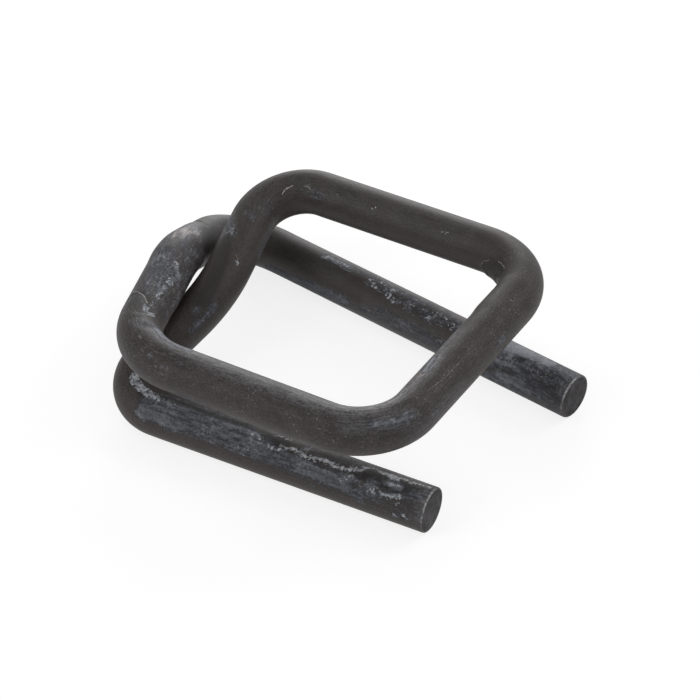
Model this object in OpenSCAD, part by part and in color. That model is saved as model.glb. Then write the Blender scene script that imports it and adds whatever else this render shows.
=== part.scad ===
// Bent wire strapping buckle: one round wire, cold bent into a raised strap
// loop over two prongs, the two rear strands crossing side by side.
// Millimetres, +Z up. The prongs lie on Z = 0 and point along +X.

/* [Wire] */
// Diameter of the wire
wire_d = 3.5; // [2.5:0.1:5]
// Bevel left on the rim of each sheared end
end_bevel = 0.2; // [0.1:0.05:0.6]

/* [Loop] */
// Width of the strap the loop takes
strap_w = 19; // [13:0.5:32]
// Free width beside the strap inside the loop
strap_play = 1.3; // [0.5:0.1:4]
// Loop length from the rear corners to the nose, between wire centres
loop_len = 23.7; // [16:0.1:40]
// Clear height between prongs and loop at the rear
rear_gap = 2.6; // [1:0.1:6]
// Clear height between prongs and loop at the nose
nose_gap = 4.2; // [1:0.1:9]
// How far the nose bar leads on the -Y side
nose_skew = 0.95; // [0:0.05:4]
// How far the loop's rear corner leads on the -Y side
rear_skew = 3.25; // [0:0.05:6]

/* [Prongs] */
// Inset of each prong from the loop's side at the rear
prong_inset_rear = 0.75; // [0:0.05:3]
// Inset of each prong from the loop's side at the tip
prong_inset_tip = 3.55; // [0:0.05:6]
// Rear corner of the -Y prong behind the loop's rear corner
short_setback = 2.35; // [0:0.05:6]
// Rear corner of the +Y prong behind the loop's rear corner
long_setback = 4; // [0:0.05:8]
// Tip of the -Y prong past the nose bar's centre
short_overhang = 2.1; // [0:0.05:12]
// Tip of the +Y prong past the nose bar's centre
long_overhang = 5.15; // [0:0.05:14]

/* [Rear crossing] */
// Space added between the two strands' bend points, beyond one wire
cross_gap = 0.85; // [0.4:0.05:3]
// Slope of the step from the outer strand down to the inner one
cross_slope = 24; // [10:1:45]
// Sideways shift of the inner strand's bend point
cross_shift = 0.5; // [0:0.05:2]
// Lift of the outer strand's bend point above its chord
outer_lift = 2.1; // [0.5:0.05:4]
// Rearward bow of the outer strand's bend point
outer_bow = 0.75; // [0:0.05:3]

/* [Inside bend radii] */
// Rear corner of the -Y prong
short_bend = 1.3; // [1:0.1:5]
// Rear corner of the +Y prong
long_bend = 2.1; // [1:0.1:5]
// Middle of the inner strand
inner_bend = 12.9; // [5:0.1:30]
// Middle of the outer strand
outer_bend = 8; // [5:0.1:30]
// Loop corner at the rear on the +Y side
loop_bend_rear_long = 2.1; // [1:0.1:5]
// Loop corner at the nose on the +Y side
loop_bend_nose_long = 3.6; // [1:0.1:6]
// Loop corner at the nose on the -Y side
loop_bend_nose_short = 2.7; // [1:0.1:6]
// Loop corner at the rear on the -Y side
loop_bend_rear_short = 4.4; // [1:0.1:6]

/* [Hidden] */
$fn = 96;

wire_r = wire_d / 2;
// half the loop's width between wire centres
side_y = (strap_w + strap_play + wire_d) / 2;
// heights of the wire's centre
prong_z = wire_r;
rear_z = prong_z + wire_d + rear_gap;
nose_z = prong_z + wire_d + nose_gap;
// stations along X, counted from the middle of the loop's rear corners
rear_short_x = rear_skew / 2;
rear_long_x = -rear_skew / 2;
nose_short_x = loop_len + nose_skew / 2;
nose_long_x = loop_len - nose_skew / 2;

loop_rear_long = [rear_long_x, side_y, rear_z];
loop_nose_long = [nose_long_x, side_y, nose_z];
loop_nose_short = [nose_short_x, -side_y, nose_z];
loop_rear_short = [rear_short_x, -side_y, rear_z];
short_corner = [rear_short_x - short_setback, -(side_y - prong_inset_rear), prong_z];
long_corner = [rear_long_x - long_setback, side_y - prong_inset_rear, prong_z];
short_tip = [nose_short_x + short_overhang, -(side_y - prong_inset_tip), prong_z];
long_tip = [nose_long_x + long_overhang, side_y - prong_inset_tip, prong_z];

// the outer strand bows up and back; the inner one passes a wire and a gap in front
outer_mid = (loop_rear_short + long_corner) / 2 + [-outer_bow, outer_bow, outer_lift];
cross_step = wire_d + cross_gap;
inner_mid = outer_mid
    + [cross_step * cos(cross_slope), -cross_shift, -cross_step * sin(cross_slope)];

// bend points in the order the wire runs, and the wanted centre radius at each
route = [
    short_tip, short_corner, inner_mid, loop_rear_long, loop_nose_long,
    loop_nose_short, loop_rear_short, outer_mid, long_corner, long_tip
];
inside = [
    0, short_bend, inner_bend, loop_bend_rear_long, loop_bend_nose_long,
    loop_bend_nose_short, loop_bend_rear_short, outer_bend, long_bend, 0
];
last = len(route) - 1;
// share of a run that one bend may take up
bend_share = 0.47;
// the pieces are joined at this fraction of their size, so that end faces a hair apart close up
join_scale = 1 / 2000;

function unit(v) = v / norm(v);
function run(i) = route[i + 1] - route[i];
function heading(i) = unit(run(i));
function turn(i) = acos(heading(i - 1) * heading(i));
function room(i) = bend_share * min(norm(run(i - 1)), norm(run(i)));
function bend_r(i) = min(inside[i] + wire_r, room(i) / tan(turn(i) / 2));
function reach(i) = (i == 0 || i == last) ? 0 : bend_r(i) * tan(turn(i) / 2);
function bend_axis(i) = unit(cross(heading(i - 1), heading(i)));
function inward(i) = cross(bend_axis(i), heading(i - 1));
function bend_start(i) = route[i] - reach(i) * heading(i - 1);
function bend_centre(i) = bend_start(i) + bend_r(i) * inward(i);

// middle of the whole part along X, so that the origin is under its centre
back_axis = bend_axis(last - 1);
back_x = bend_centre(last - 1)[0] - bend_r(last - 1) * sqrt(1 - back_axis[0] * back_axis[0]) - wire_r;
tip_rim = wire_r - end_bevel;
front_x = max(
    short_tip[0] + tip_rim * abs(heading(0)[1]),
    long_tip[0] + tip_rim * abs(heading(last - 1)[1]),
    nose_short_x + wire_r
);
middle_x = (front_x + back_x) / 2;

// places +Z along a direction
module along(at, dir)
    translate(at) rotate([0, acos(dir[2]), atan2(dir[1], dir[0])]) children();

// straight wire between two bends, or out to a tip
module straight(i) {
    from = route[i] + reach(i) * heading(i);
    length = norm(run(i)) - reach(i) - reach(i + 1);
    first_cut = i == 0 ? end_bevel : 0;
    last_cut = i == last - 1 ? end_bevel : 0;
    along(from, heading(i)) {
        translate([0, 0, first_cut])
            cylinder(d = wire_d, h = length - first_cut - last_cut);
        if (first_cut > 0)
            cylinder(r1 = tip_rim, r2 = wire_r, h = end_bevel);
        if (last_cut > 0)
            translate([0, 0, length - end_bevel])
                cylinder(r1 = wire_r, r2 = tip_rim, h = end_bevel);
    }
}

// part of a ring: local X points out from its centre, Y along the wire
module bend(i) {
    x = -inward(i);
    y = heading(i - 1);
    z = bend_axis(i);
    c = bend_centre(i);
    multmatrix([
        [x[0], y[0], z[0], c[0]],
        [x[1], y[1], z[1], c[1]],
        [x[2], y[2], z[2], c[2]],
        [0, 0, 0, 1]
    ])
        rotate_extrude(angle = turn(i))
            translate([bend_r(i), 0])
                circle(d = wire_d);
}

module wire_buckle()
    color("dimgray")
        translate([-middle_x, 0, 0])
            scale(1 / join_scale)
                union() {
                    for (i = [0 : last - 1]) scale(join_scale) straight(i);
                    for (i = [1 : last - 1]) scale(join_scale) bend(i);
                }

wire_buckle();
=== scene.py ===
import math

import bpy
import numpy as np
from mathutils import Matrix


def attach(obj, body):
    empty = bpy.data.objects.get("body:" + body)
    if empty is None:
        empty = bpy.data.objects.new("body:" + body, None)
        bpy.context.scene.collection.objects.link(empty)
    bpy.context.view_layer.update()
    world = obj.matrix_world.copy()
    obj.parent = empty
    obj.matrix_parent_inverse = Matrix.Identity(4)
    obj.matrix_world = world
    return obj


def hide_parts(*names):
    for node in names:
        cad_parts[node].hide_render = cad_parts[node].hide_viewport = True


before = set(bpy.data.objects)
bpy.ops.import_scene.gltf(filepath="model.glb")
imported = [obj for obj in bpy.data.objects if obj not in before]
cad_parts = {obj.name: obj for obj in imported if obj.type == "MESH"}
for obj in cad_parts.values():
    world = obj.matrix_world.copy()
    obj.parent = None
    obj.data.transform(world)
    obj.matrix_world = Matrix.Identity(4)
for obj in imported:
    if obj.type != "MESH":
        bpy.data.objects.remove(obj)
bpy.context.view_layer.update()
print("stage: frame loaded")

mm = 0.001


def hexColour(code):
    # written as sRGB hex, handed to the nodes as linear light
    def linear(c):
        return c / 12.92 if c <= 0.04045 else ((c + 0.055) / 1.055) ** 2.4
    code = code.lstrip("#")
    return tuple(linear(int(code[i:i + 2], 16) / 255) for i in (0, 2, 4)) + (1.0,)


def addNode(tree, kind, inputs=None, **settings):
    # one node: settings are its properties, inputs go by place or name and are values, nodes or sockets
    node = tree.nodes.new(kind if "Node" in kind else "ShaderNode" + kind)
    for name, value in settings.items():
        setattr(node, name, value)
    for name, value in inputs.items() if isinstance(inputs, dict) else enumerate(inputs or []):
        live = [k for k in node.inputs if k.enabled]
        socket = live[name] if isinstance(name, int) else next(k for k in live if k.name == name)
        if isinstance(value, bpy.types.Node):
            value = next(k for k in value.outputs if k.enabled)
        if isinstance(value, bpy.types.NodeSocket):
            tree.links.new(value, socket)
        else:
            socket.default_value = value
    return node


# the wire's path: the same sizes as the construction, in millimetres
wirePath = {
    "wireDiameter": 3.5,
    "endBevel": 0.2,
    "strapWidth": 19.0,
    "strapPlay": 1.3,
    "loopLength": 23.7,
    "rearGap": 2.6,
    "noseGap": 4.2,
    "noseSkew": 0.95,
    "rearSkew": 3.25,
    "prongInsetRear": 0.75,
    "prongInsetTip": 3.55,
    "shortSetback": 2.35,
    "longSetback": 4.0,
    "shortOverhang": 2.1,
    "longOverhang": 5.15,
    "crossGap": 0.85,
    "crossSlope": 24.0,
    "crossShift": 0.5,
    "outerLift": 2.1,
    "outerBow": 0.75,
    "insideBends": [1.3, 12.9, 2.1, 3.6, 2.7, 4.4, 8.0, 2.1],
    "pointStep": 0.15,
    "segments": 72,
}


def unit(v):
    return v / np.linalg.norm(v)


def wireRoute(p):
    r = p["wireDiameter"] / 2
    side = (p["strapWidth"] + p["strapPlay"] + p["wireDiameter"]) / 2
    rearZ = r + p["wireDiameter"] + p["rearGap"]
    noseZ = r + p["wireDiameter"] + p["noseGap"]
    rear, nose = p["rearSkew"] / 2, p["noseSkew"] / 2
    prongY = side - p["prongInsetRear"]
    tipY = side - p["prongInsetTip"]
    loopRearLong = np.array([-rear, side, rearZ])
    loopNoseLong = np.array([p["loopLength"] - nose, side, noseZ])
    loopNoseShort = np.array([p["loopLength"] + nose, -side, noseZ])
    loopRearShort = np.array([rear, -side, rearZ])
    shortCorner = np.array([rear - p["shortSetback"], -prongY, r])
    longCorner = np.array([-rear - p["longSetback"], prongY, r])
    shortTip = np.array([loopNoseShort[0] + p["shortOverhang"], -tipY, r])
    longTip = np.array([loopNoseLong[0] + p["longOverhang"], tipY, r])
    outerMid = (loopRearShort + longCorner) / 2 + np.array([-p["outerBow"], p["outerBow"], p["outerLift"]])
    step, slope = p["wireDiameter"] + p["crossGap"], math.radians(p["crossSlope"])
    innerMid = outerMid + np.array([step * math.cos(slope), -p["crossShift"], -step * math.sin(slope)])
    return [shortTip, shortCorner, innerMid, loopRearLong, loopNoseLong,
            loopNoseShort, loopRearShort, outerMid, longCorner, longTip]


def sampledPath(p):
    # straight runs and round bends, in even steps: points, directions and lengths from the short tip
    route, r, step = wireRoute(p), p["wireDiameter"] / 2, p["pointStep"]
    heading = [unit(b - a) for a, b in zip(route, route[1:])]
    reach, radius, turn = [0.0], [0.0], [0.0]
    for i, inside in enumerate(p["insideBends"], 1):
        turn.append(math.acos(heading[i - 1] @ heading[i]))
        radius.append(inside + r)
        reach.append(radius[i] * math.tan(turn[i] / 2))
    reach.append(0.0)
    points, directions = [], []
    for i, h in enumerate(heading):
        start = route[i] + reach[i] * h
        length = np.linalg.norm(route[i + 1] - route[i]) - reach[i] - reach[i + 1]
        count = max(2, round(length / step))
        for k in range(count):
            points.append(start + h * length * k / count)
            directions.append(h)
        if i + 1 < len(heading):
            axis = unit(np.cross(h, heading[i + 1]))
            inward = np.cross(axis, h)
            centre = start + h * length + inward * radius[i + 1]
            count = max(6, round(radius[i + 1] * turn[i + 1] / step))
            for k in range(count):
                a = turn[i + 1] * k / count
                points.append(centre + radius[i + 1] * (math.sin(a) * h - math.cos(a) * inward))
                directions.append(math.cos(a) * h + math.sin(a) * inward)
    points.append(route[-1])
    directions.append(heading[-1])
    points, directions = np.array(points), np.array(directions)
    along = np.concatenate([[0.0], np.cumsum(np.linalg.norm(np.diff(points, axis=0), axis=1))])
    return points, directions, along


pathPoints, pathDirections, pathAlong = sampledPath(wirePath)
wireRadius = wirePath["wireDiameter"] / 2
# the part's origin is under the middle of its box, so the path is centred along X
reachX = wireRadius * np.sqrt(1 - pathDirections[:, 0] ** 2)
pathPoints[:, 0] -= ((pathPoints[:, 0] - reachX).min() + (pathPoints[:, 0] + reachX).max()) / 2
print("stage: path", len(pathPoints), "points,", round(float(pathAlong[-1]), 2), "mm")

# sheared ends: distance in from the end plane and share of the wire's radius, from the middle outwards
shearedEnd = {
    "rings": [(0.0, 0.02), (0.002, 0.2), (0.004, 0.38), (0.006, 0.55), (0.008, 0.7), (0.01, 0.82),
              (0.014, 0.9), (0.03, 0.945), (0.06, 0.972), (0.1, 0.99), (0.16, 0.999)],
    "faceShare": 0.93,  # smaller rings belong to the cut face
    "faceSoft": 0.03,
    "rimShares": (0.925, 0.955),  # where the rim starts and is full, as shares of the radius
    "rimDepths": (0.03, 0.17),  # where it ends along the wire, in mm from the end
}


def wireRings():
    # centre, direction, length along the wire and radius share of each ring, cut faces included
    bevel = wirePath["endBevel"]
    inner = (pathAlong > bevel) & (pathAlong < pathAlong[-1] - bevel)
    centres, directions, along, share = [], [], [], []
    for depth, size in shearedEnd["rings"]:
        centres.append(pathPoints[0] + pathDirections[0] * depth)
        directions.append(pathDirections[0])
        along.append(depth - (1 - size) * wireRadius)
        share.append(size)
    for c, d, a in zip(pathPoints[inner], pathDirections[inner], pathAlong[inner]):
        centres.append(c)
        directions.append(d)
        along.append(a)
        share.append(1.0)
    for depth, size in reversed(shearedEnd["rings"]):
        centres.append(pathPoints[-1] - pathDirections[-1] * depth)
        directions.append(pathDirections[-1])
        along.append(pathAlong[-1] - depth + (1 - size) * wireRadius)
        share.append(size)
    return np.array(centres), np.array(directions), np.array(along), np.array(share)


ringCentre, ringDirection, ringAlong, ringShare = wireRings()

# sweep: a circle carried along the path, its skin a little uneven as drawn wire is
wireSweep = {
    "Wire Radius": wireRadius * mm,
    "Segments": wirePath["segments"],
    "Skin Unevenness": 0.006 * mm,
    "Unevenness Scale": 900.0,
}


def sweepTree(material):
    tree = bpy.data.node_groups.new("sweepWire", "GeometryNodeTree")
    face = tree.interface
    face.new_socket("Geometry", in_out="INPUT", socket_type="NodeSocketGeometry")
    for name, value in wireSweep.items():
        kind = "NodeSocketInt" if isinstance(value, int) else "NodeSocketFloat"
        face.new_socket(name, in_out="INPUT", socket_type=kind)
    face.new_socket("Geometry", in_out="OUTPUT", socket_type="NodeSocketGeometry")
    given = addNode(tree, "NodeGroupInput").outputs
    turned = addNode(tree, "GeometryNodeSetCurveNormal", {"Curve": given["Geometry"]}, mode="Z_UP")
    ring = addNode(tree, "GeometryNodeCurvePrimitiveCircle",
                   {"Resolution": given["Segments"], "Radius": given["Wire Radius"]})
    swept = addNode(tree, "GeometryNodeCurveToMesh",
                    {"Curve": turned, "Profile Curve": ring, "Fill Caps": True,
                     "Scale": addNode(tree, "GeometryNodeInputRadius")})
    noise = addNode(tree, "TexNoise",
                    {"Vector": addNode(tree, "GeometryNodeInputPosition"),
                     "Scale": given["Unevenness Scale"], "Detail": 2.0})
    swing = addNode(tree, "Math", [noise, 0.5], operation="SUBTRACT")
    lift = addNode(tree, "Math", [swing, given["Skin Unevenness"]], operation="MULTIPLY")
    out = addNode(tree, "VectorMath",
                  {"Vector": addNode(tree, "GeometryNodeInputNormal"), "Scale": lift}, operation="SCALE")
    moved = addNode(tree, "GeometryNodeSetPosition", {"Geometry": swept, "Offset": out})
    smooth = addNode(tree, "GeometryNodeSetShadeSmooth", {"Geometry": moved})
    real = addNode(tree, "GeometryNodeRealizeInstances", {"Geometry": smooth})
    painted = addNode(tree, "GeometryNodeSetMaterial", {"Geometry": real, "Material": material})
    addNode(tree, "NodeGroupOutput", {"Geometry": painted})
    return tree


def sweepWire(material):
    curve = bpy.data.curves.new("wirePath", "CURVE")
    curve.dimensions = "3D"
    spline = curve.splines.new("POLY")
    spline.points.add(len(ringCentre) - 1)
    spline.points.foreach_set("co", np.c_[ringCentre * mm, np.ones(len(ringCentre))].ravel())
    spline.points.foreach_set("radius", ringShare)
    carrier = bpy.data.objects.new("wirePath", curve)
    bpy.context.scene.collection.objects.link(carrier)
    modifier = carrier.modifiers.new("sweep", "NODES")
    modifier.node_group = sweepTree(material)
    for socket in modifier.node_group.interface.items_tree:
        if socket.in_out == "INPUT" and socket.name in wireSweep:
            modifier[socket.identifier] = wireSweep[socket.name]
    mesh = bpy.data.meshes.new_from_object(carrier.evaluated_get(bpy.context.evaluated_depsgraph_get()))
    mesh.name = "phosphatedWire"
    carrier.modifiers.remove(modifier)
    bpy.data.objects.remove(carrier)
    return mesh


# marks from forming and handling, with painted sheen and shade among them, placed on the wire: millimetres
# from the short tip and degrees round the wire (90 is the top, 0 the left of the run), then half width in
# mm and strength
wireMarks = {
    "film": [  # dried blue-grey residue with ragged edges, above 1 thick and pale
        ([(0, 60), (24, 60)], 1.6, 0.14),  # thin veils
        ([(31, 90), (44, 95)], 3.0, 0.1),
        ([(77, 90), (97, 90)], 2.4, 0.13),
        ([(97, 80), (109, 80)], 2.4, 0.18),
        ([(109, 90), (117, 90)], 3.0, 0.24),
        ([(118.6, 95), (125.4, 85)], 2.6, 0.46),
        ([(162.4, 112), (168.5, 112)], 1.8, 0.76),
        ([(163.4, 235), (168.5, 255)], 0.9, 0.42),
        ([(165.2, 20), (168.5, -20)], 0.8, 0.4),
        ([(0, 60), (9, 60)], 1.6, 0.42),
        ([(22.8, 60), (17, 60)], 0.95, 1.05),  # short prong, from its rear corner to the tip
        ([(23.4, 36), (20.5, 32)], 0.3, 1.15),
        ([(22, 92), (15, 92)], 0.2, 0.85),
        ([(22.4, 80), (20, 84)], 0.2, 1.1),
        ([(17, 58), (13.5, 52)], 0.8, 1.05),
        ([(13.5, 45), (10, 36)], 0.5, 0.95),
        ([(10, 38), (8, 36), (6.2, 33)], 0.35, 1.15),
        ([(7.5, 32), (6, 25), (5, 15)], 0.25, 0.9),
        ([(17, 76), (15.4, 84), (14.2, 76)], 0.08, 1.25),
        ([(3.4, 74), (2.9, 71)], 0.08, 1.6),
        ([(2.9, 70), (2.3, 72)], 0.1, 1.5),
        ([(2, 68), (1, 70)], 0.3, 0.8),
        ([(4.7, 50), (4.3, 51)], 0.1, 1.1),
        ([(6.9, 43), (6.3, 53), (5.6, 55)], 0.08, 1.2),
        ([(4.6, 37), (3.4, 42), (2.1, 51)], 0.08, 0.9),
        ([(2.4, 6), (1.2, 4)], 0.06, 0.8),
        ([(32.6, 149), (35.2, 145)], 0.04, 1.1),  # inner strand
        ([(33.7, 126), (33.9, 124)], 0.04, 0.9),
        ([(43, 32), (42, 59), (41.4, 76)], 0.12, 0.95),
        ([(41.3, 186), (42.5, 179), (43.8, 183)], 0.12, 0.9),
        ([(43.5, 97), (43.3, 116)], 0.2, 0.5),
        ([(45.7, 134), (44.5, 125)], 0.2, 0.45),
        ([(51.1, 148), (52, 148)], 0.08, 0.75),
        ([(50.2, 122), (49.8, 103)], 0.1, 0.4),
        ([(78.4, 17), (79.3, 15)], 0.05, 0.9),  # nose bar
        # partly residue, partly painted highlight on the nose bar's lit inner edge
        ([(84.2, 124), (85.2, 118), (85.9, 115)], 0.05, 1.45),
        ([(92.4, 58), (91.2, 50), (90, 47)], 0.06, 1.1),
        ([(88.7, 24), (87.8, 13)], 0.08, 0.45),
        ([(107.4, -25), (105, -30)], 0.08, 0.8),  # loop's front bar and rear corner
        # partly residue, partly painted highlight along the rear corner's inner edge
        ([(113.5, 91), (112.9, 110), (112.2, 132)], 0.1, 0.9),
        ([(112.4, 128), (110, 121), (108.2, 116)], 0.18, 1.35),
        ([(119, 100), (121, 92), (122.3, 70)], 0.6, 0.85),  # outer strand
        ([(122, 105), (123.5, 78)], 0.5, 0.8),
        ([(122, 123), (121.4, 141), (120, 132), (118, 118)], 0.04, 1.2),
        ([(144.4, 88), (145.6, 87), (146.8, 84)], 0.16, 1.2),  # long prong
        ([(146.8, 82), (148.5, 80), (152.8, 84), (156.5, 76)], 0.1, 0.65),
        ([(140, 200), (143, 194), (146, 186), (147.7, 181)], 0.3, 1.15),
        ([(147.7, 184), (153, 182), (158, 180)], 0.2, 0.6),
        ([(149, 96), (152, 104)], 0.4, 0.55),
        ([(153.4, 110), (157.6, 108)], 0.45, 0.6),
        ([(151, 160), (158, 165)], 0.25, 0.6),
        ([(161.8, 84), (163.7, 80)], 0.5, 1.8),  # long prong past the nose bar
        ([(163.7, 79), (165.8, 76)], 0.42, 1.45),
        ([(165.8, 78), (168.2, 86)], 0.5, 1.05),
        ([(162, 122), (162.7, 124)], 0.2, 1.1),
        ([(162.8, 104), (163, 112)], 0.1, 1.3),
        ([(164.5, 104), (164.7, 107)], 0.12, 1.1),
        ([(165.2, 99), (165.6, 98)], 0.12, 1.0),
        ([(164, 120), (164.6, 121)], 0.12, 1.0),
        ([(161.8, 140), (163.2, 137), (164.2, 137)], 0.08, 1.2),
        ([(162.9, 165), (164, 159), (164.9, 162)], 0.07, 1.2),
        ([(162.5, 173), (163.2, 177), (164, 175), (165.5, 180)], 0.1, 1.35),
        ([(166.2, 175), (166.7, 174)], 0.12, 0.95),
        ([(161.7, 194), (164, 201), (165.6, 215), (167.8, 206)], 0.25, 1.0),
        ([(164.6, 95), (167.8, 104)], 0.35, 0.8),
    ],
    "crust": [  # whiter lumps where the residue dried thick
        ([(26.1, 91), (25.7, 85)], 0.22, 1.25),  # short prong, from its rear corner to the tip
        ([(25.7, 85), (25, 84), (24.1, 87)], 0.22, 1.2),
        ([(24.1, 87), (23.2, 84), (22.7, 85)], 0.14, 1.1),
        ([(22.7, 85), (21.5, 86)], 0.04, 0.85),
        ([(14.6, 75), (13.8, 77)], 0.1, 0.9),
        ([(13, 60), (11.9, 65), (11, 74)], 0.02, 0.7),
        ([(13.2, 97), (11.7, 101)], 0.02, 0.7),
        ([(12.2, 72), (11.1, 74), (10, 67), (8.6, 72), (7.4, 69), (6.9, 70), (6.1, 79), (5.6, 82)],
         0.05, 1.05),
        ([(5.6, 82), (5.6, 95), (4.9, 101), (4.4, 98), (3.7, 96), (3.1, 91), (2.9, 89)], 0.05, 1.05),
        ([(4.4, 101), (3.2, 99), (2.4, 101), (1.7, 101), (1, 105), (0.5, 106)], 0.02, 0.95),
        ([(4.6, 36), (4.1, 42), (3.4, 42), (2.7, 46), (2.1, 51)], 0.03, 1.0),
        ([(2.5, 48), (2.7, 39)], 0.03, 0.95),
        ([(2.1, 46), (2.1, 34), (2.3, 28)], 0.02, 0.85),
        ([(2.2, 4), (2.2, 2)], 0.03, 0.8),
        ([(1.5, 8), (1.2, 2)], 0.02, 0.75),
        ([(6.9, 43), (6.4, 50), (6.1, 58)], 0.02, 0.75),
        ([(3.1, 72), (2.6, 71)], 0.06, 0.75),
        ([(38.9, 126), (38.8, 128)], 0.05, 0.9),  # inner strand and the loop's back side
        ([(53.1, 135), (53.2, 135)], 0.02, 0.75),
        ([(56.6, 132), (56.7, 132)], 0.02, 0.75),
        ([(62.9, 133), (63.2, 132)], 0.02, 0.8),
        ([(115.9, 104), (115.4, 106)], 0.12, 1.2),  # loop's rear corner and the outer strand
        ([(115, 119), (115, 126)], 0.14, 1.2),
        ([(118.3, 120), (117.5, 120)], 0.06, 0.8),
        ([(119.7, 126), (119.9, 134)], 0.05, 0.8),
        ([(128.2, 100), (127.6, 111)], 0.2, 0.6),
        ([(122.4, 120), (121.2, 138)], 0.04, 0.8),
        ([(120.6, 128), (118.8, 122)], 0.04, 0.75),
        ([(144.6, 88), (146.8, 85)], 0.12, 0.6),  # long prong
        ([(149, 94), (149.3, 96)], 0.1, 0.65),
        ([(149.6, 103), (149.8, 104)], 0.12, 0.65),
        ([(150, 83), (150.2, 85)], 0.08, 0.65),
        ([(151.1, 90), (151.5, 86)], 0.1, 0.65),
        ([(151.1, 113), (151.8, 119)], 0.14, 0.7),
        ([(153.4, 110), (153.6, 108)], 0.1, 0.65),
        ([(154.4, 105), (154.6, 104)], 0.08, 0.65),
        ([(155.1, 120), (155.2, 116)], 0.12, 0.65),
        ([(155.2, 106), (155.4, 98)], 0.1, 0.7),
        ([(156.4, 105), (156.6, 107)], 0.14, 0.7),
        ([(157.2, 110), (157.5, 113)], 0.12, 0.65),
        ([(162.2, 86), (162.8, 82)], 0.1, 0.7),
    ],
    "haze": [  # painted sheen and highlights where the light catches the wire, above 1 paler toward a bright highlight
        # painted highlight on the outer strand's shoulder
        ([(125.9, 84), (127.5, 90), (127.6, 110)], 0.3, 1.5),
        ([(129.3, 66), (127.5, 84)], 0.3, 0.9),
        # painted sheen along the rear corner's inner edge, and painted highlight bands along the front and
        # nose bars
        ([(113.5, 91), (112.9, 110), (112.4, 132)], 0.15, 1.0),
        ([(112.4, 130), (108.6, 110), (106.1, 97), (102.8, 90), (100.3, 95), (98.3, 91)], 0.2, 0.85),
        ([(98.3, 91), (95.9, 97), (93.8, 98), (92, 96)], 0.2, 0.95),
        ([(92.1, 101), (90.9, 112), (89.1, 122), (87.5, 122), (86, 116), (84.6, 119)], 0.2, 1.08),
        ([(86.4, 116), (84.2, 121)], 0.2, 1.25),
        ([(84.6, 119), (82.5, 132), (80.8, 130)], 0.1, 0.85),
        ([(93.5, 58), (91.5, 58), (90.3, 47)], 0.3, 0.6),
        ([(89.7, -3), (88, 10), (85, 4)], 0.3, 0.35),
        ([(150, 176), (160, 176)], 0.3, 0.5),
        # faint painted light where the long prong lies in shade
        ([(141, 100), (146, 100)], 1.2, 0.1),
        ([(0.15, 97), (0.15, 72)], 0.08, 0.5),  # painted highlight on stretches of the two rims
        ([(0.15, 72), (0.15, 58)], 0.12, 1.0),
        ([(0.15, 36), (0.15, 20)], 0.1, 0.7),
        ([(168.4, 130), (168.4, 110)], 0.15, 1.2),
        ([(168.4, 172), (168.4, 132)], 0.06, 0.4),
        # painted light on the inner strand's edge, the outer strand's top and the top of the loop's back
        # bar
        ([(43, 36), (41, 62)], 0.2, 0.7),
        ([(133, 98), (134.1, 96)], 0.1, 0.5),
        ([(45, 100), (64, 110)], 1.2, 0.14),
    ],
    "dark": [  # darker patches: oily ones, the pressed pocket and die flat, and painted shade between the strands, under the front bar and on the outer strand's shoulder and crease
        # painted shadow on the short prong under the loop's front bar
        ([(22.6, 91), (20.4, 92), (17, 93), (15.5, 95)], 0.06, 0.9),
        ([(13.7, 84), (11.9, 81)], 0.2, 0.8),
        ([(8.8, 92), (6.6, 101), (5.9, 104), (4, 110)], 0.15, 0.75),
        ([(5.6, 67), (4.5, 77), (3.7, 77)], 0.14, 0.85),
        ([(6, 41), (5.6, 44)], 0.06, 0.5),
        ([(3.6, 57), (2.6, 60)], 0.1, 0.6),
        ([(2, 77), (1.4, 81)], 0.1, 0.6),
        ([(1.7, 32), (0.8, 36)], 0.2, 0.5),
        # painted shade on the inner strand where the outer strand shades it
        ([(34.8, 114), (37, 95), (39, 80), (40.6, 66)], 0.4, 0.9),
        ([(67.6, 184), (68.6, 168), (70.2, 150)], 0.3, 0.9),
        ([(69, 188), (70.9, 156)], 0.35, 0.9),
        ([(116.3, 68), (114.8, 85)], 0.45, 0.6),
        # painted shade on the far side of the outer strand's shoulder and in its crease
        ([(131.5, 95), (130, 119), (127.7, 142), (126.9, 166)], 0.4, 0.9),
        ([(131, 62), (130.4, 85), (130.2, 104)], 0.03, 0.9),
        ([(163.3, 107), (163.8, 106)], 0.04, 0.5),
        ([(162.2, 158), (163.6, 150)], 0.04, 0.7),
        ([(164.4, 132), (165.2, 137), (166.2, 143)], 0.1, 0.35),
        ([(166.2, 140), (167.6, 148), (168.4, 160)], 0.25, 0.3),
    ],
    "wear": [  # how grainy and specked each stretch is
        ([(0, 90), (28, 90)], 6.0, 0.6),
        ([(28, 90), (50, 90)], 6.0, 0.4),
        ([(50, 90), (72, 90)], 6.0, 0.05),
        ([(76, 90), (97, 90)], 6.0, 1.0),
        ([(97, 90), (117, 90)], 6.0, 0.9),
        ([(117, 90), (130, 90)], 6.0, 1.0),
        ([(136, 90), (158, 90)], 6.0, 0.05),
        ([(161, 90), (168, 90)], 6.0, 0.6),
    ],
    "scratches": [  # thin bright edges and scratches, the first a painted highlight on the die step's edge
        # painted highlight on the die step's edge
        ([(118.1, 45), (117.7, 69), (117.2, 87), (116.4, 104)], 0.06, 0.9),
        ([(47.5, 135), (48.1, 127), (48.8, 126)], 0.07, 1.0),
        ([(49.9, 131), (50.4, 132), (50.7, 140)], 0.055, 0.75),
        ([(66.9, 188), (67.3, 171), (68, 161)], 0.055, 0.6),
        ([(69.4, 145), (70.2, 140), (71, 138)], 0.055, 0.7),
        ([(39.4, 112), (38.9, 127)], 0.045, 0.4),
        ([(83.7, 59), (85.9, 61), (87.9, 71)], 0.045, 0.42),
        ([(79, -5), (81, -8)], 0.05, 0.6),
        ([(114.8, 70), (113.4, 85)], 0.045, 0.35),
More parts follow.
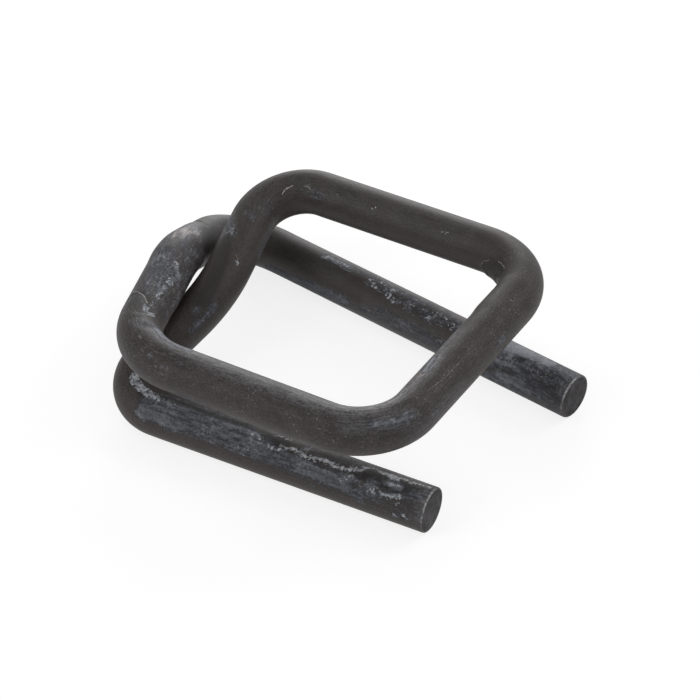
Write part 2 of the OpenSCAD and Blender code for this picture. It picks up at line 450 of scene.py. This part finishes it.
        ([(116, 66), (115, 84)], 0.045, 0.35),
        ([(4.4, 101), (3.2, 99), (2.4, 101), (1.7, 101), (1, 105), (0.5, 106)], 0.06, 0.85),
        ([(3.4, 110), (2.7, 117), (1.7, 115), (1, 123)], 0.05, 0.55),
        ([(12.2, 72), (11.1, 74), (10, 67), (8.6, 72), (7.4, 69), (6.9, 70), (6.1, 79), (5.6, 82)],
         0.06, 0.65),
        ([(5.6, 95), (4.9, 101), (4.4, 98), (3.7, 96), (3.1, 91)], 0.06, 0.8),
    ],
    "dents": [  # pressed in by the bending tools, below 0 pushed out: half width, soft edge and depth in mm
        ([(116.8, 62), (116.2, 80), (115.7, 97)], 0.85, 0.25, 0.06),  # die flat under the tool's edge
        ([(67.9, 184), (69, 168), (70.7, 150)], 0.5, 0.25, 0.1),  # mandrel pocket in the nose corner
        ([(67.8, 208), (69.6, 198)], 0.2, 0.8, -0.12),  # metal squeezed out on both sides of it
        ([(73.6, 140), (76.5, 142)], 0.2, 1.3, -0.09),
        ([(72.2, 166), (71.6, 147)], 0.05, 0.5, 0.05),  # and the fold between
        ([(131, 62), (130.2, 106)], 0.04, 0.22, 0.1),  # crease on the outer strand's shoulder
        ([(124.2, 55), (129.4, 60)], 0.2, 1.6, -0.09),  # and the fuller wire beside it
        ([(119.6, 178), (126, 186)], 0.3, 0.9, -0.12),
        ([(47.5, 135), (48.8, 126)], 0.04, 0.16, 0.05),  # nicks in the rear corner
        ([(49.9, 131), (50.7, 140)], 0.04, 0.16, 0.04),
        ([(24, 135), (18, 135)], 0.3, 0.8, -0.08),  # residue dried in the gap under the loop
    ],
    "softness": {"film": 0.5, "crust": 0.3, "haze": 1.0, "dark": 0.4, "wear": 3.0},  # mm of soft edge
    "ovality": 0.1,  # how far a bend flattens the wire, mm for a bend of 1 mm radius
}

wireSteel = bpy.data.materials.new("blackPhosphatedDrawnSteel")
wireMesh = sweepWire(wireSteel)
ringCount, segments = len(ringCentre), wirePath["segments"]
skin = np.empty(len(wireMesh.vertices) * 3)
wireMesh.vertices.foreach_get("co", skin)
skin = skin.reshape(ringCount, segments, 3) / mm
# left of the wire's run and up, for the angle round the wire: 90 degrees is the top
sideways = np.cross([0.0, 0.0, 1.0], ringDirection)
sideways /= np.linalg.norm(sideways, axis=1)[:, None]
upwards = np.cross(ringDirection, sideways)
spoke = skin - ringCentre[:, None]
spokeSide = np.einsum("rsk,rk->rs", spoke, sideways)
spokeUp = np.einsum("rsk,rk->rs", spoke, upwards)
spokeAngle = np.arctan2(spokeUp, spokeSide)
spokeLength = np.maximum(np.linalg.norm(spoke, axis=2), 0.001)
onFace = ringShare < shearedEnd["faceShare"]


def halfTurn(angle):
    return (angle + math.pi) % (2 * math.pi) - math.pi


def strokeDistance(points):
    # distance in mm from a line of (along, angle) points, measured on the unrolled skin
    nearest = np.full((ringCount, segments), 99.0)
    for (s0, a0), (s1, a1) in zip(points, points[1:]):
        x = ringAlong[:, None] - s0
        y = wireRadius * halfTurn(spokeAngle - math.radians(a0))
        dx, dy = s1 - s0, wireRadius * halfTurn(math.radians(a1 - a0))
        t = np.clip((x * dx + y * dy) / (dx * dx + dy * dy), 0, 1)
        nearest = np.minimum(nearest, np.hypot(x - t * dx, y - t * dy))
    return nearest


def strokeFall(points, halfWidth, soft):
    # 1 on the stroke, easing to 0 over its soft edge
    fall = np.clip(1 - (strokeDistance(points) - halfWidth) / soft, 0, 1)
    return fall * fall * (3 - 2 * fall)


def markField(strokes, soft):
    field = np.zeros((ringCount, segments))
    for points, halfWidth, strength in strokes:
        field = np.maximum(field, strength * strokeFall(points, halfWidth, soft))
    return np.where(onFace[:, None], 0, field)


def storeField(name, field):
    values = field.ravel().astype(np.float32)
    wireMesh.attributes.new(name, "FLOAT", "POINT").data.foreach_set("value", values)


for name, soft in wireMarks["softness"].items():
    storeField(name, markField(wireMarks[name], soft))
cutFace = np.clip((shearedEnd["faceShare"] - ringShare) / shearedEnd["faceSoft"], 0, 1)
storeField("cutFace", np.repeat(cutFace[:, None], segments, 1))
# the skin unrolled, for the patterns: mm along the wire, then across and up from its middle
wireSpace = np.stack([np.repeat(ringAlong[:, None], segments, 1), spokeSide, spokeUp], 2)
wireMesh.attributes.new("wireSpace", "FLOAT_VECTOR", "POINT").data.foreach_set(
    "vector", wireSpace.ravel().astype(np.float32))


def pressedDepth():
    depth = np.zeros((ringCount, segments))
    for points, halfWidth, soft, deep in wireMarks["dents"]:
        depth += deep * strokeFall(points, halfWidth, soft)
    return depth


def ovalDepth():
    # a bend flattens the wire in its own plane and widens it across
    bend = np.gradient(ringDirection, ringAlong, axis=0)
    bend = np.stack([np.convolve(bend[:, k], np.ones(11) / 11, "same") for k in range(3)], 1)
    curvature = np.maximum(np.linalg.norm(bend, axis=1), 0.0001)[:, None]
    lean = np.einsum("rsk,rk->rs", spoke / spokeLength[:, :, None], bend) / curvature
    return wireMarks["ovality"] * curvature * (2 * lean * lean - 1)


# hollows move the skin in along its spokes
depth = np.where(onFace[:, None], 0, pressedDepth() + ovalDepth())
skin -= spoke * (depth / spokeLength)[:, :, None]
wireMesh.vertices.foreach_set("co", (skin * mm).ravel())
print("stage: skin marked, hollows to", round(float(depth.max()), 3), "mm")


def scratchGroup():
    # nearness to one straight scratch on the unrolled skin: 1 on its line, 0 at its half width
    tree = bpy.data.node_groups.new("scratch", "ShaderNodeTree")
    for name in ("From Along", "From Angle", "Run Along", "Run Round", "Half Width", "Along", "Angle"):
        tree.interface.new_socket(name, in_out="INPUT", socket_type="NodeSocketFloat")
    tree.interface.new_socket("Nearness", in_out="OUTPUT", socket_type="NodeSocketFloat")
    given = addNode(tree, "NodeGroupInput").outputs
    turn = addNode(tree, "Math", [given["Angle"], given["From Angle"]], operation="SUBTRACT")
    turn = addNode(tree, "Math", [turn, math.pi, -math.pi], operation="WRAP")
    across = addNode(tree, "Math", [turn, wireRadius], operation="MULTIPLY")
    ahead = addNode(tree, "Math", [given["Along"], given["From Along"]], operation="SUBTRACT")
    here = addNode(tree, "CombineXYZ", [ahead, across, 0.0])
    run = addNode(tree, "CombineXYZ", [given["Run Along"], given["Run Round"], 0.0])
    onto = addNode(tree, "VectorMath", [here, run], operation="DOT_PRODUCT").outputs["Value"]
    whole = addNode(tree, "VectorMath", [run, run], operation="DOT_PRODUCT").outputs["Value"]
    share = addNode(tree, "Math", [onto, whole], operation="DIVIDE", use_clamp=True)
    foot = addNode(tree, "VectorMath", {"Vector": run, "Scale": share}, operation="SCALE")
    away = addNode(tree, "VectorMath", [here, foot], operation="DISTANCE").outputs["Value"]
    near = addNode(tree, "MapRange", [away, 0.0, given["Half Width"], 1.0, 0.0])
    addNode(tree, "NodeGroupOutput", {"Nearness": near})
    return tree


# black zinc phosphate on drawn steel wire: a matt brown-black crystal coat that dries chalky
# blue-grey where rinse water stood, with pale specks and a few nicks down to the steel, and painted sheen,
# highlights and shade laid over it
wireFinish = {
    "coatDark": "#251f1d",
    "coatLight": "#443d3b",
    "filmDark": "#36373d",
    "filmLight": "#93969e",
    "crustDark": "#6f747b",
    "crustLight": "#cacdd4",
    "sheenColour": "#77787c",
    "highlightColour": "#a8a09e",
    "oilAndShadeColour": "#1a1715",
    "speckColour": "#949498",
    "nickAndGlintColour": "#c6c3bc",
    "faceDark": "#262322",
    "faceLight": "#585559",
    "rimColour": "#d2d2d2",
    "coatRoughness": 0.58,
    "chalkRoughness": 0.75,
    "coatShine": 0.5,
    "faceShine": 0.16,
    "toneMean": (0.5, 0.42),  # tone of the coat and how far it swings, unworn and worn
    "toneSwing": (0.35, 1.35),
    "speckRange": (1.05, 1.15),  # noise at which specks start and are full
    "speckStrength": 0.65,
    "filmEdge": (0.25, 0.85),  # from bare coat to full film, and to full crust
    "crustEdge": (0.45, 0.85),
    "cover": 0.95,  # how far film and crust hide the coat
    "bumpStrength": 0.5,
    "blotchSize": 1.6,  # mm, as the sizes below
    "drawnPitch": 0.13,
    "drawnLength": 1.0,
    "grainSize": 0.1,
    "fleckSize": 0.17,
    "clumpSize": 0.2,
    "lumpSize": 0.24,
    "tatterSize": 0.42,
    "tatterLength": 1.2,
    "laceSize": 0.45,
    "faceBlotch": 1.1,
    "driftSize": 1 / 3,
    "laceDrift": 0.5,
    "scratchDrift": 0.2,
    "bumpDepth": 0.03,
}


def dressWire(material):
    material.use_nodes = True
    tree = material.node_tree
    tree.nodes.clear()
    look = dict(wireFinish)
    for name, value in look.items():
        if isinstance(value, str):
            look[name] = hexColour(value)
    space = addNode(tree, "Attribute", attribute_name="wireSpace").outputs["Vector"]
    painted = {}
    for name in ("film", "crust", "haze", "dark", "wear", "cutFace"):
        painted[name] = addNode(tree, "Attribute", attribute_name=name).outputs["Fac"]

    # noises the layers share, each at its own real size
    blotch = addNode(tree, "TexNoise", {"Vector": space, "Scale": 1 / look["blotchSize"], "Detail": 5.0,
                                        "Roughness": 0.62})
    grain = addNode(tree, "TexNoise", {"Vector": space, "Scale": 1 / look["grainSize"], "Detail": 2.0})
    fleck = addNode(tree, "TexNoise", {"Vector": space, "Scale": 1 / look["fleckSize"], "Detail": 3.0,
                                       "Roughness": 0.6})
    clump = addNode(tree, "TexNoise", {"Vector": space, "Scale": 1 / look["clumpSize"], "Detail": 5.0,
                                       "Roughness": 0.65})
    squeeze = (look["drawnPitch"] / look["drawnLength"], 1.0, 1.0)
    lengthwise = addNode(tree, "VectorMath", [space, squeeze], operation="MULTIPLY")
    drawn = addNode(tree, "TexNoise", {"Vector": lengthwise, "Scale": 1 / look["drawnPitch"],
                                       "Detail": 3.0})
    squeeze = (look["tatterSize"] / look["tatterLength"], 1.0, 1.0)
    lengthwise = addNode(tree, "VectorMath", [space, squeeze], operation="MULTIPLY")
    tatter = addNode(tree, "TexNoise", {"Vector": lengthwise, "Scale": 1 / look["tatterSize"],
                                        "Detail": 5.0, "Roughness": 0.6})
    drift = addNode(tree, "TexNoise", {"Vector": space, "Scale": 1 / look["driftSize"],
                                       "Detail": 1.0}).outputs["Color"]
    drift = addNode(tree, "VectorMath", [drift, (0.5, 0.5, 0.5)], operation="SUBTRACT")
    warped = addNode(tree, "VectorMath", [drift, (look["laceDrift"],) * 3, space], operation="MULTIPLY_ADD")

    # coat: dark crystals, mottled and faintly lined by the drawing die, more so where it is worn
    swing = addNode(tree, "Math", [blotch, 1.4, -2.8], operation="MULTIPLY_ADD")
    swing = addNode(tree, "Math", [drawn, 1.3, swing], operation="MULTIPLY_ADD")
    swing = addNode(tree, "Math", [grain, 2.9, swing], operation="MULTIPLY_ADD")
    uneven = addNode(tree, "MapRange", [painted["wear"], 0.0, 1.0, *look["toneSwing"]])
    level = addNode(tree, "MapRange", [painted["wear"], 0.0, 1.0, *look["toneMean"]])
    tone = addNode(tree, "Math", [swing, uneven, level], operation="MULTIPLY_ADD", use_clamp=True)
    colour = addNode(tree, "Mix", {"Factor": tone, "A": look["coatDark"], "B": look["coatLight"]},
                     data_type="RGBA")

    # pale specks, thicker where the coat is worn
    speck = addNode(tree, "Math", [painted["wear"], 0.24, fleck], operation="MULTIPLY_ADD")
    speck = addNode(tree, "Math", [blotch, 0.35, speck], operation="MULTIPLY_ADD")
    speck = addNode(tree, "MapRange", [speck, *look["speckRange"], 0.0, look["speckStrength"]])
    colour = addNode(tree, "Mix", {"Factor": speck, "A": colour, "B": look["speckColour"]},
                     data_type="RGBA")

    # painted sheen and highlights, broken up by the grain of the coat
    broken = addNode(tree, "Math", [drawn, clump], operation="ADD")
    broken = addNode(tree, "MapRange", [broken, 0.75, 1.3])
    haze = addNode(tree, "Math", [painted["haze"], broken], operation="MULTIPLY", use_clamp=True)
    highlightShare = addNode(tree, "MapRange", [painted["haze"], 0.9, 1.4])
    sheen = addNode(tree, "Mix", {"Factor": highlightShare, "A": look["sheenColour"], "B": look["highlightColour"]},
                    data_type="RGBA")
    colour = addNode(tree, "Mix", {"Factor": haze, "A": colour, "B": sheen}, data_type="RGBA")

    # chalky film: ragged outline drawn out along the wire, streaked inside and laced with paler veins
    filmGate = addNode(tree, "MapRange", [painted["film"], 0.0, 0.35])
    ragged = addNode(tree, "Math", [tatter, clump], operation="ADD")
    ragged = addNode(tree, "MapRange", [ragged, 0.5, 1.5, -1.1, 1.1])
    film = addNode(tree, "Math", [ragged, filmGate, painted["film"]], operation="MULTIPLY_ADD")
    film = addNode(tree, "MapRange", [film, *look["filmEdge"], 0.0, look["cover"]],
                   interpolation_type="SMOOTHSTEP")
    drawnOut = addNode(tree, "VectorMath", [warped, (0.55, 1.0, 1.0)], operation="MULTIPLY")
    lace = addNode(tree, "TexVoronoi", {"Vector": drawnOut, "Scale": 1 / look["laceSize"]},
                   feature="DISTANCE_TO_EDGE")
    veins = addNode(tree, "MapRange", [lace, 0.0, 0.14, 0.6, 0.0])
    laced = addNode(tree, "MapRange", [blotch, 0.42, 0.62])
    veins = addNode(tree, "Math", [veins, laced], operation="MULTIPLY")
    filmTone = addNode(tree, "Math", [clump, 1.1, veins], operation="MULTIPLY_ADD")
    filmTone = addNode(tree, "Math", [tatter, 0.8, filmTone], operation="MULTIPLY_ADD")
    filmTone = addNode(tree, "Math", [drawn, 1.0, filmTone], operation="MULTIPLY_ADD")
    thick = addNode(tree, "MapRange", [painted["film"], 0.9, 1.6, -1.4, -0.6])
    filmTone = addNode(tree, "Math", [filmTone, thick], operation="ADD", use_clamp=True)
    chalk = addNode(tree, "Mix", {"Factor": filmTone, "A": look["filmDark"], "B": look["filmLight"]},
                    data_type="RGBA")
    colour = addNode(tree, "Mix", {"Factor": film, "A": colour, "B": chalk}, data_type="RGBA")

    # thick crust in lumps
    lumps = addNode(tree, "TexVoronoi", {"Vector": warped, "Scale": 1 / look["lumpSize"]},
                    feature="SMOOTH_F1")
    lump = addNode(tree, "MapRange", [lumps, 0.1, 0.6, 0.4, -0.4])
    grains = addNode(tree, "MapRange", [clump, 0.3, 0.7, -0.55, 0.55])
    crustGate = addNode(tree, "MapRange", [painted["crust"], 0.0, 0.3])
    crust = addNode(tree, "Math", [grains, lump], operation="ADD")
    crust = addNode(tree, "Math", [crust, crustGate, painted["crust"]], operation="MULTIPLY_ADD")
    crust = addNode(tree, "MapRange", [crust, *look["crustEdge"], 0.0, look["cover"]],
                    interpolation_type="SMOOTHSTEP")
    crustTone = addNode(tree, "Math", [fleck, 2.0, lump], operation="MULTIPLY_ADD")
    crustTone = addNode(tree, "MapRange", [crustTone, 0.5, 1.5])
    chalk = addNode(tree, "Mix", {"Factor": crustTone, "A": look["crustDark"], "B": look["crustLight"]},
                    data_type="RGBA")
    colour = addNode(tree, "Mix", {"Factor": crust, "A": colour, "B": chalk}, data_type="RGBA")

    # darker patches: oil, and painted shade between the strands, under the front bar and on the outer
    # strand's shoulder
    dark = addNode(tree, "Math", [painted["dark"], 0.85], operation="MULTIPLY")
    colour = addNode(tree, "Mix", {"Factor": dark, "A": colour, "B": look["oilAndShadeColour"]}, data_type="RGBA")

    # scratches and nicks, each a straight stretch between two listed points, a little unsteady
    # the die step's bright edge among them is a painted highlight
    scratch = scratchGroup()
    unsteady = addNode(tree, "VectorMath", [drift, (look["scratchDrift"],) * 3, space],
                       operation="MULTIPLY_ADD")
    axes = addNode(tree, "SeparateXYZ", [unsteady]).outputs
    angle = addNode(tree, "Math", [axes[2], axes[1]], operation="ARCTAN2")
    nicksAndGlint = 0.0
    for points, halfWidth, strength in wireMarks["scratches"]:
        for (s0, a0), (s1, a1) in zip(points, points[1:]):
            across = wireRadius * halfTurn(math.radians(a1 - a0))
            line = addNode(tree, "Group", {"From Along": s0, "From Angle": math.radians(a0),
                                           "Run Along": s1 - s0, "Run Round": across,
                                           "Half Width": halfWidth, "Along": axes[0],
                                           "Angle": angle}, node_tree=scratch)
            line = addNode(tree, "Math", [line, strength], operation="MULTIPLY")
            nicksAndGlint = addNode(tree, "Math", [nicksAndGlint, line], operation="MAXIMUM")
    patchy = addNode(tree, "MapRange", [fleck, 0.3, 0.6, 0.25, 1.0])
    nicksAndGlint = addNode(tree, "Math", [nicksAndGlint, patchy], operation="MULTIPLY")
    nicksAndGlint = addNode(tree, "MapRange", [nicksAndGlint, 0.1, 0.75, 0.0, 0.9])
    colour = addNode(tree, "Mix", {"Factor": nicksAndGlint, "A": colour, "B": look["nickAndGlintColour"]}, data_type="RGBA")

    # sheared faces: torn grey in the middle of the cut, with a thin pale rim, faint all round and a painted
    # highlight where the sheen strokes reach it
    torn = addNode(tree, "TexNoise", {"Vector": space, "Scale": 1 / look["faceBlotch"], "Detail": 6.0,
                                      "Roughness": 0.65})
    torn = addNode(tree, "MapRange", [torn, 0.4, 0.62])
    face = addNode(tree, "Mix", {"Factor": torn, "A": look["faceDark"], "B": look["faceLight"]},
                   data_type="RGBA")
    colour = addNode(tree, "Mix", {"Factor": painted["cutFace"], "A": colour, "B": face}, data_type="RGBA")
    station = addNode(tree, "SeparateXYZ", [space]).outputs[0]
    section = addNode(tree, "VectorMath", [space, (0.0, 1.0, 1.0)], operation="MULTIPLY")
    radius = addNode(tree, "VectorMath", [section], operation="LENGTH").outputs["Value"]
    rimInner, rimOuter = (share * wireRadius for share in shearedEnd["rimShares"])
    edge = addNode(tree, "MapRange", [radius, rimInner, rimOuter])
    wireEnd = float(pathAlong[-1])
    nearEnd, offEnd = shearedEnd["rimDepths"]
    firstEnd = addNode(tree, "MapRange", [station, nearEnd, offEnd, 1.0, 0.0])
    lastEnd = addNode(tree, "MapRange", [station, wireEnd - offEnd, wireEnd - nearEnd])
    rim = addNode(tree, "Math", [firstEnd, lastEnd], operation="MAXIMUM")
    rim = addNode(tree, "Math", [rim, edge], operation="MULTIPLY")
    rimGlint = addNode(tree, "MapRange", [clump, 0.42, 0.56, 0.2, 1.0])
    glintLevel = addNode(tree, "Math", [painted["haze"], 0.14], operation="ADD", use_clamp=True)
    rimGlint = addNode(tree, "Math", [rimGlint, glintLevel], operation="MULTIPLY")
    rim = addNode(tree, "Math", [rim, rimGlint], operation="MULTIPLY")
    colour = addNode(tree, "Mix", {"Factor": rim, "A": colour, "B": look["rimColour"]}, data_type="RGBA")

    # chalk is duller than the coat, and film, crust, drawing lines and grain stand up a little
    chalky = addNode(tree, "Math", [film, crust], operation="MAXIMUM")
    rough = addNode(tree, "MapRange", [chalky, 0.0, 1.0, look["coatRoughness"], look["chalkRoughness"]])
    height = addNode(tree, "Math", [film, 0.15, crust], operation="MULTIPLY_ADD")
    height = addNode(tree, "Math", [drawn, 0.3, height], operation="MULTIPLY_ADD")
    height = addNode(tree, "Math", [grain, 0.4, height], operation="MULTIPLY_ADD")
    bump = addNode(tree, "Bump", {"Strength": look["bumpStrength"], "Distance": look["bumpDepth"] * mm,
                                  "Height": height})
    shine = addNode(tree, "MapRange", [painted["cutFace"], 0.0, 1.0, look["coatShine"], look["faceShine"]])
    shader = addNode(tree, "BsdfPrincipled", {"Base Color": colour, "Roughness": rough, "Normal": bump,
                                              "Specular IOR Level": shine})
    addNode(tree, "OutputMaterial", {"Surface": shader})


dressWire(wireSteel)
wireMesh.update()
wire = bpy.data.objects.new("wire", wireMesh)
bpy.context.scene.collection.objects.link(wire)
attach(wire, "root")
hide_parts("wire_buckle")
print("stage: wire", len(wireMesh.polygons), "faces")

# studio: pale floor, even surround, a low soft lamp behind and one on each side
studio = {
    "floorRings": [(1.6, 0.0), (1.85, 0.05), (2.0, 0.25)],  # radius and height in m, the rim as a backdrop
    "floorSides": 96,
    "floorColour": "#989898",
    "floorGlow": 0.8,
    "surroundLight": 0.48,
    "lamps": [("backSoftbox", (-0.22, 0.38, 0.095), 0.20, 0.62),
              ("leftSoftbox", (-0.18, -0.32, 0.26), 0.20, 0.35),
              ("rightSoftbox", (0.18, 0.32, 0.26), 0.20, 0.35)],
}


def floorMaterial():
    material = bpy.data.materials.new("paleStudioFloor")
    material.use_nodes = True
    tree = material.node_tree
    tree.nodes.clear()
    path = addNode(tree, "LightPath").outputs
    seen = addNode(tree, "Math", [path["Is Camera Ray"], path["Is Glossy Ray"]], operation="MAXIMUM")
    seen = addNode(tree, "Math", [seen, path["Is Transmission Ray"]], operation="MAXIMUM")
    glow = addNode(tree, "Math", [seen, studio["floorGlow"]], operation="MULTIPLY")
    matt = addNode(tree, "BsdfDiffuse", {"Color": hexColour(studio["floorColour"])})
    lit = addNode(tree, "Emission", {"Color": (1, 1, 1, 1), "Strength": glow})
    addNode(tree, "OutputMaterial", {"Surface": addNode(tree, "AddShader", [matt, lit])})
    return material


floorMesh = bpy.data.meshes.new("floor")
sides = studio["floorSides"]
turns = [2 * math.pi * k / sides for k in range(sides)]
corners = [(r * math.cos(a), r * math.sin(a), z) for r, z in studio["floorRings"] for a in turns]
faces = [tuple(range(sides))]
for ring in range(1, len(studio["floorRings"])):
    for k in range(sides):
        inner, outer, following = (ring - 1) * sides, ring * sides, (k + 1) % sides
        faces.append((inner + k, outer + k, outer + following, inner + following))
floorMesh.from_pydata(corners, [], faces)
floorMesh.materials.append(floorMaterial())
floor = bpy.data.objects.new("floor", floorMesh)
bpy.context.scene.collection.objects.link(floor)

world = bpy.data.worlds.new("evenSurround")
bpy.context.scene.world = world
world.use_nodes = True
world.node_tree.nodes.clear()
surround = addNode(world.node_tree, "Background",
                   {"Color": (1, 1, 1, 1), "Strength": studio["surroundLight"]})
addNode(world.node_tree, "OutputWorld", {"Surface": surround})

for name, place, size, power in studio["lamps"]:
    lamp = bpy.data.lights.new(name, "AREA")
    lamp.shape = "SQUARE"
    lamp.size = size
    lamp.energy = power
    lampObject = bpy.data.objects.new(name, lamp)
    lampObject.location = place
    lampObject.rotation_euler = (-lampObject.location).to_track_quat("-Z", "Y").to_euler()
    lampObject.visible_camera = False
    bpy.context.scene.collection.objects.link(lampObject)

# camera: where the photograph was taken from
photoCamera = {
    "place": (0.100807, -0.148076, 0.151311),
    "azimuth": 33.6088,
    "elevation": 39.4064,
    "roll": 0.1775,
    "lens": 157.638,
}
camera = bpy.data.cameras.new("photoCamera")
camera.lens = photoCamera["lens"]
camera.sensor_width = 36.0
camera.clip_start = 0.01
cameraObject = bpy.data.objects.new("photoCamera", camera)
cameraObject.matrix_world = (Matrix.Translation(photoCamera["place"])
                             @ Matrix.Rotation(math.radians(photoCamera["azimuth"]), 4, "Z")
                             @ Matrix.Rotation(math.radians(90 - photoCamera["elevation"]), 4, "X")
                             @ Matrix.Rotation(math.radians(photoCamera["roll"]), 4, "Z"))
bpy.context.scene.collection.objects.link(cameraObject)
bpy.context.scene.camera = cameraObject
bpy.context.scene.view_settings.view_transform = "Standard"
print("stage: studio and camera")
